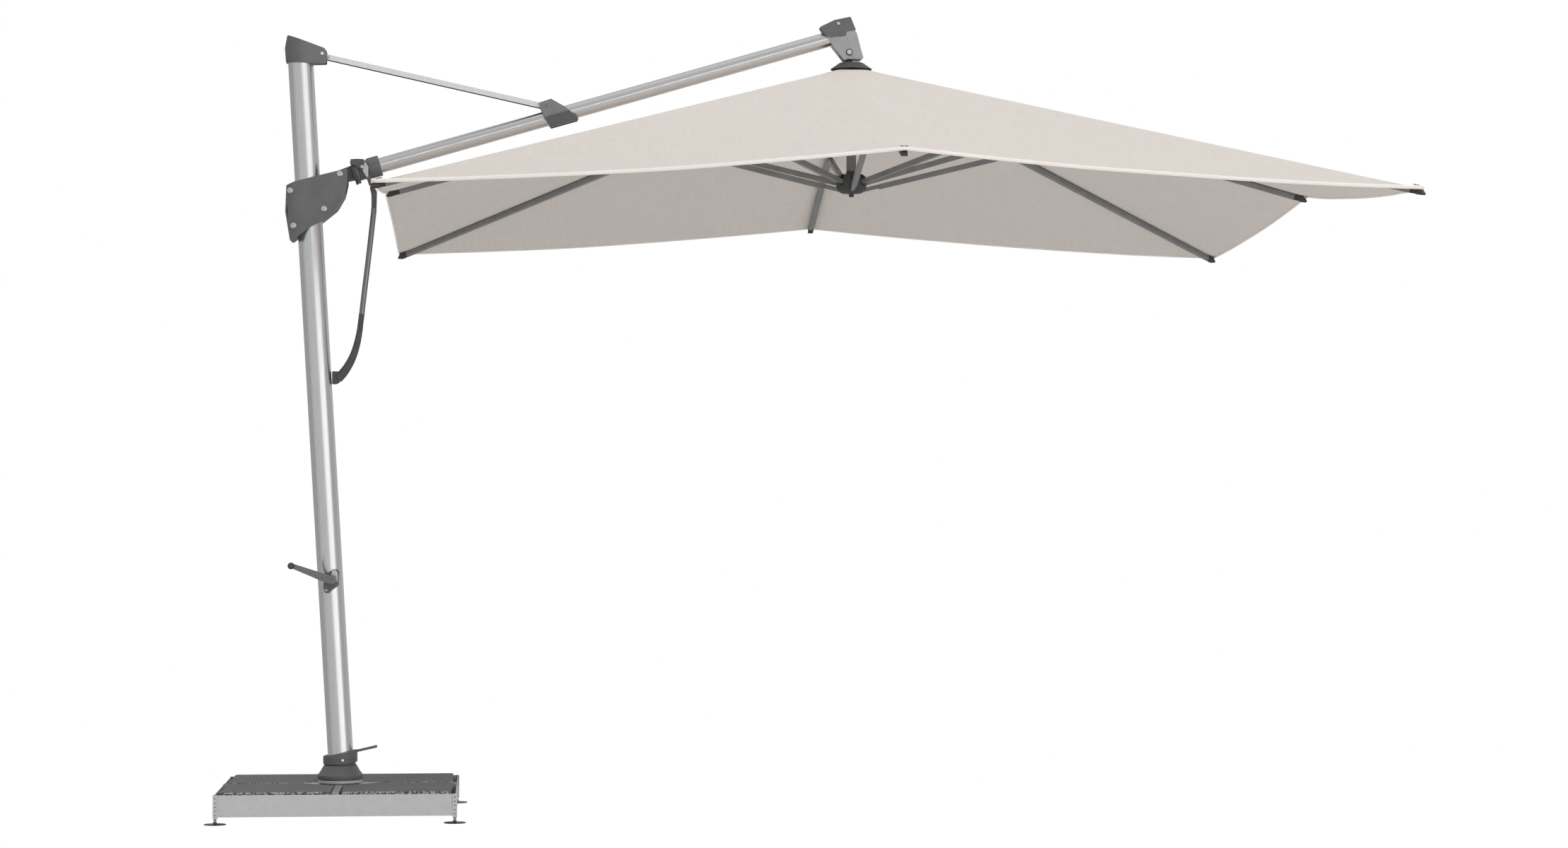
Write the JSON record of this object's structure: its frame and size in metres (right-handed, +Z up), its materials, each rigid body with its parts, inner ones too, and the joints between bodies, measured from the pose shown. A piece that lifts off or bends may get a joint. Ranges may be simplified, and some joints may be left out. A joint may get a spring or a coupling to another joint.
{
  "type": "cantilever parasol",
  "caption": "Free-arm garden parasol: a leaning mast on a slab base carries a side arm with a square ribbed canopy that cranks shut, swivels and tilts.",
  "frame": {"origin": "on the ground, in the middle of the open parasol's outline, 1.603 m from the axis the mast swivels about, on the symmetry plane of the canopy", "axes": "+Z up and the shortest extent, +X from the mast towards the canopy and the longest extent, +Y to the back as seen from the crank side"},
  "size_m": [4.1456, 3.514, 2.9889],
  "materials": {
    "galvanised_steel": "hot-dip galvanised sheet, light grey, satin",
    "concrete": "dark grey concrete paving slab, open grain",
    "stainless_steel": "turned stainless steel, satin",
    "anthracite_casting": "anthracite powder-coated die casting, matt",
    "anodised_aluminium": "natural anodised extrusion with a fine lengthwise grain",
    "grey_profile": "mid-grey coated aluminium profile, satin",
    "dark_plastic": "moulded dark grey plastic, fine texture",
    "canopy_cloth": "woven solution-dyed canopy cloth, off-white grey-beige"
  },
  "bodies": {
    "base": {"base_frame": "galvanised_steel", "base_cross": "galvanised_steel", "slab_front_left": "concrete", "slab_front_right": "concrete", "slab_back_left": "concrete", "slab_back_right": "concrete", "base_flange": "stainless_steel", "foot_cone": "anthracite_casting"},
    "mast": {"swivel_collar": "anthracite_casting", "mast_tube": "anodised_aluminium", "mast_head_cap": "anthracite_casting", "strut_top_pin": "stainless_steel", "crank_housing": "anthracite_casting"},
    "pedal": {"swivel_pedal": "anthracite_casting"},
    "tie": {"tie_strut": "anodised_aluminium"},
    "arm": {"arm_fork": "anthracite_casting", "strut_bracket": "anthracite_casting", "bracket_pin": "stainless_steel"},
    "upper_arm": {"arm_tube": "anodised_aluminium", "tilt_sleeve": "anthracite_casting", "arm_head": "anthracite_casting", "head_pin": "stainless_steel", "handle_pin": "stainless_steel"},
    "handle": {"handle_tube": "grey_profile", "handle_grip": "dark_plastic"},
    "carriage": {"carriage_shell_front": "anthracite_casting", "carriage_shell_rear": "anthracite_casting", "carriage_bolt_upper": "stainless_steel", "carriage_bolt_middle": "stainless_steel", "carriage_bolt_lower": "stainless_steel", "arm_pivot_pin": "stainless_steel", "glide_shoe_left": "dark_plastic", "glide_shoe_right": "dark_plastic"},
    "crank": {"crank_arm": "anthracite_casting"},
    "knob": {"crank_knob": "dark_plastic"},
    "crown": {"crown_cover": "dark_plastic", "crown_hub": "anthracite_casting", "guide_tube": "anodised_aluminium", "canopy_fabric": "canopy_cloth"},
    "runner": {"runner_hub": "anthracite_casting"},
    "foot_front_left": {"foot_front_left": "stainless_steel"},
    "foot_front_right": {"foot_front_right": "stainless_steel"},
    "foot_back_left": {"foot_back_left": "stainless_steel"},
    "foot_back_right": {"foot_back_right": "stainless_steel"},
    "rib_1": {"rib_1": "grey_profile"},
    "stretcher_1": {"stretcher_1": "grey_profile"},
    "rib_2": {"rib_2": "grey_profile"},
    "stretcher_2": {"stretcher_2": "grey_profile"},
    "rib_3": {"rib_3": "grey_profile"},
    "stretcher_3": {"stretcher_3": "grey_profile"},
    "rib_4": {"rib_4": "grey_profile"},
    "stretcher_4": {"stretcher_4": "grey_profile"},
    "rib_5": {"rib_5": "grey_profile"},
    "stretcher_5": {"stretcher_5": "grey_profile"},
    "rib_6": {"rib_6": "grey_profile"},
    "stretcher_6": {"stretcher_6": "grey_profile"},
    "rib_7": {"rib_7": "grey_profile"},
    "stretcher_7": {"stretcher_7": "grey_profile"},
    "rib_8": {"rib_8": "grey_profile"},
    "stretcher_8": {"stretcher_8": "grey_profile"}
  },
  "joints": [
    {"name": "screw_foot_front_left", "type": "hinge", "parent": "base", "child": "foot_front_left", "pos_m": [-2.03275, -0.43, 0], "axis": [0, 0, 1], "continuous": true},
    {"name": "screw_foot_front_right", "type": "hinge", "parent": "base", "child": "foot_front_right", "pos_m": [-1.17275, -0.43, 0], "axis": [0, 0, 1], "continuous": true},
    {"name": "screw_foot_back_left", "type": "hinge", "parent": "base", "child": "foot_back_left", "pos_m": [-2.03275, 0.43, 0], "axis": [0, 0, 1], "continuous": true},
    {"name": "screw_foot_back_right", "type": "hinge", "parent": "base", "child": "foot_back_right", "pos_m": [-1.17275, 0.43, 0], "axis": [0, 0, 1], "continuous": true},
    {"name": "mast_swivel", "type": "hinge", "parent": "base", "child": "mast", "pos_m": [-1.60275, 0, 0.18], "axis": [0, 0, 1], "continuous": true},
    {"name": "pedal_press", "type": "hinge", "parent": "mast", "child": "pedal", "pos_m": [-1.60275, 0, 0.2125], "axis": [0, 1, 0], "range_deg": [0, 7], "stiffness_Nm_per_rad": 6, "springref_deg": -2.86},
    {"name": "canopy_fold", "type": "hinge", "parent": "mast", "child": "tie", "pos_m": [-1.65135, 0, 2.823], "axis": [0, 1, 0], "range_deg": [0, 53], "deforming": ["canopy_fabric"]},
    {"name": "fold_arm", "type": "hinge", "parent": "tie", "child": "arm", "pos_m": [-0.83775, 0, 2.6445], "axis": [0, 1, 0], "range_deg": [-107, 1]},
    {"name": "fold_carriage", "type": "hinge", "parent": "arm", "child": "carriage", "pos_m": [-1.62475, 0, 2.3716], "axis": [0, 1, 0], "range_deg": [-1, 54]},
    {"name": "arm_tilt", "type": "hinge", "parent": "arm", "child": "upper_arm", "pos_m": [-1.62475, 0, 2.3716], "axis": [0.9603, 0, 0.279], "range_deg": [-18, 18]},
    {"name": "fold_handle", "type": "hinge", "parent": "upper_arm", "child": "handle", "pos_m": [-1.52375, 0, 2.4106], "axis": [0, 1, 0], "range_deg": [-1, 43.4]},
    {"name": "fold_crown", "type": "hinge", "parent": "upper_arm", "child": "crown", "pos_m": [0.30525, 0, 2.858], "axis": [0, 1, 0], "range_deg": [-1, 54]},
    {"name": "fold_crank", "type": "hinge", "parent": "mast", "child": "crank", "pos_m": [-1.63075, 0, 0.874], "axis": [0, 1, 0], "range_deg": [0, 2160]},
    {"name": "turn_knob", "type": "hinge", "parent": "crank", "child": "knob", "pos_m": [-1.77975, -0.12, 0.925], "axis": [0, 1, 0], "continuous": true},
    {"name": "fold_rib_1", "type": "hinge", "parent": "crown", "child": "rib_1", "pos_m": [0.35775, 0, 2.7377], "axis": [0, 1, 0], "range_deg": [-1, 73]},
    {"name": "fold_stretcher_1", "type": "hinge", "parent": "rib_1", "child": "stretcher_1", "pos_m": [1.17575, 0, 2.53794], "axis": [0, 1, 0], "range_deg": [-145, 1]},
    {"name": "fold_rib_2", "type": "hinge", "parent": "crown", "child": "rib_2", "pos_m": [0.34545, 0.0297, 2.7642], "axis": [-0.7071, 0.7071, 0], "range_deg": [-1, 73]},
    {"name": "fold_stretcher_2", "type": "hinge", "parent": "rib_2", "child": "stretcher_2", "pos_m": [0.92386, 0.60811, 2.56444], "axis": [-0.7071, 0.7071, 0], "range_deg": [-145, 1]},
    {"name": "fold_rib_3", "type": "hinge", "parent": "crown", "child": "rib_3", "pos_m": [0.31575, 0.042, 2.7377], "axis": [-1, 0, 0], "range_deg": [-1, 73]},
    {"name": "fold_stretcher_3", "type": "hinge", "parent": "rib_3", "child": "stretcher_3", "pos_m": [0.31575, 0.86, 2.53794], "axis": [-1, 0, 0], "range_deg": [-145, 1]},
    {"name": "fold_rib_4", "type": "hinge", "parent": "crown", "child": "rib_4", "pos_m": [0.28605, 0.0297, 2.7642], "axis": [-0.7071, -0.7071, 0], "range_deg": [-1, 73]},
    {"name": "fold_stretcher_4", "type": "hinge", "parent": "rib_4", "child": "stretcher_4", "pos_m": [-0.29236, 0.60811, 2.56444], "axis": [-0.7071, -0.7071, 0], "range_deg": [-145, 1]},
    {"name": "fold_rib_5", "type": "hinge", "parent": "crown", "child": "rib_5", "pos_m": [0.27375, 0, 2.7377], "axis": [0, -1, 0], "range_deg": [-1, 73]},
    {"name": "fold_stretcher_5", "type": "hinge", "parent": "rib_5", "child": "stretcher_5", "pos_m": [-0.54425, 0, 2.53794], "axis": [0, -1, 0], "range_deg": [-145, 1]},
    {"name": "fold_rib_6", "type": "hinge", "parent": "crown", "child": "rib_6", "pos_m": [0.28605, -0.0297, 2.7642], "axis": [0.7071, -0.7071, 0], "range_deg": [-1, 73]},
    {"name": "fold_stretcher_6", "type": "hinge", "parent": "rib_6", "child": "stretcher_6", "pos_m": [-0.29236, -0.60811, 2.56444], "axis": [0.7071, -0.7071, 0], "range_deg": [-145, 1]},
    {"name": "fold_rib_7", "type": "hinge", "parent": "crown", "child": "rib_7", "pos_m": [0.31575, -0.042, 2.7377], "axis": [1, 0, 0], "range_deg": [-1, 73]},
    {"name": "fold_stretcher_7", "type": "hinge", "parent": "rib_7", "child": "stretcher_7", "pos_m": [0.31575, -0.86, 2.53794], "axis": [1, 0, 0], "range_deg": [-145, 1]},
    {"name": "fold_rib_8", "type": "hinge", "parent": "crown", "child": "rib_8", "pos_m": [0.34545, -0.0297, 2.7642], "axis": [0.7071, 0.7071, 0], "range_deg": [-1, 73]},
    {"name": "fold_stretcher_8", "type": "hinge", "parent": "rib_8", "child": "stretcher_8", "pos_m": [0.92386, -0.60811, 2.56444], "axis": [0.7071, 0.7071, 0], "range_deg": [-145, 1]},
    {"name": "fold_runner", "type": "hinge", "parent": "stretcher_1", "child": "runner", "pos_m": [0.35775, 0, 2.33819], "axis": [0, 1, 0], "range_deg": [-1, 73]}
  ],
  "couplings": [
    {"joint": "fold_arm", "follows": "canopy_fold", "ratio": -2},
    {"joint": "fold_carriage", "follows": "canopy_fold", "ratio": 1},
    {"joint": "fold_handle", "follows": "canopy_fold", "ratio": 0.8},
    {"joint": "fold_crown", "follows": "canopy_fold", "ratio": 1},
    {"joint": "fold_crank", "follows": "canopy_fold", "ratio": 40.755},
    {"joint": "fold_rib_1", "follows": "canopy_fold", "ratio": 1.3585},
    {"joint": "fold_stretcher_1", "follows": "canopy_fold", "ratio": -2.717},
    {"joint": "fold_rib_2", "follows": "canopy_fold", "ratio": 1.3585},
    {"joint": "fold_stretcher_2", "follows": "canopy_fold", "ratio": -2.717},
    {"joint": "fold_rib_3", "follows": "canopy_fold", "ratio": 1.3585},
    {"joint": "fold_stretcher_3", "follows": "canopy_fold", "ratio": -2.717},
    {"joint": "fold_rib_4", "follows": "canopy_fold", "ratio": 1.3585},
    {"joint": "fold_stretcher_4", "follows": "canopy_fold", "ratio": -2.717},
    {"joint": "fold_rib_5", "follows": "canopy_fold", "ratio": 1.3585},
    {"joint": "fold_stretcher_5", "follows": "canopy_fold", "ratio": -2.717},
    {"joint": "fold_rib_6", "follows": "canopy_fold", "ratio": 1.3585},
    {"joint": "fold_stretcher_6", "follows": "canopy_fold", "ratio": -2.717},
    {"joint": "fold_rib_7", "follows": "canopy_fold", "ratio": 1.3585},
    {"joint": "fold_stretcher_7", "follows": "canopy_fold", "ratio": -2.717},
    {"joint": "fold_rib_8", "follows": "canopy_fold", "ratio": 1.3585},
    {"joint": "fold_stretcher_8", "follows": "canopy_fold", "ratio": -2.717},
    {"joint": "fold_runner", "follows": "canopy_fold", "ratio": 1.3585}
  ]
}
